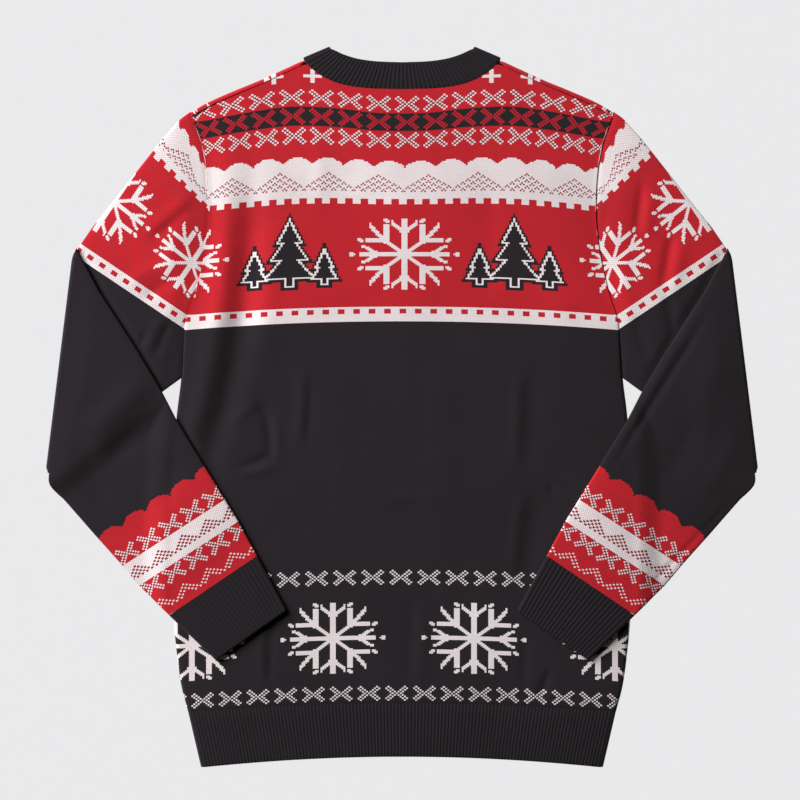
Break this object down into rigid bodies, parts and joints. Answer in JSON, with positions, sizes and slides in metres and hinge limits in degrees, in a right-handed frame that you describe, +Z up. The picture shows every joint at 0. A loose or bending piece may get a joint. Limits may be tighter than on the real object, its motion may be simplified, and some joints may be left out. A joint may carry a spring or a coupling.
{
  "type": "christmas sweater",
  "caption": "Knitted crew-neck sweater laid face down, both sleeves folded at the elbow over its back, with ribbed neckband, hem and cuffs.",
  "frame": {"origin": "on the surface that the sweater lies on, under the middle of its box", "axes": "+Z up, away from the surface; +Y from the hem towards the neck; +X to the viewer's right, looking down"},
  "size_m": [0.7338, 0.7418, 0.011],
  "materials": {
    "body_knit": "fine jacquard wool knit in bands of red, off-white and charcoal",
    "sleeve_knit": "the same jacquard knit, with the bands running across the sleeve",
    "rib_knit": "charcoal one-by-one rib"
  },
  "bodies": {
    "root": {"front_panel": "body_knit", "back_panel": "body_knit", "sleeve_left": "sleeve_knit", "sleeve_right": "sleeve_knit", "neckband": "rib_knit", "back_hem": "rib_knit", "front_hem": "rib_knit", "cuff_left": "rib_knit", "cuff_right": "rib_knit"}
  },
  "joints": []
}
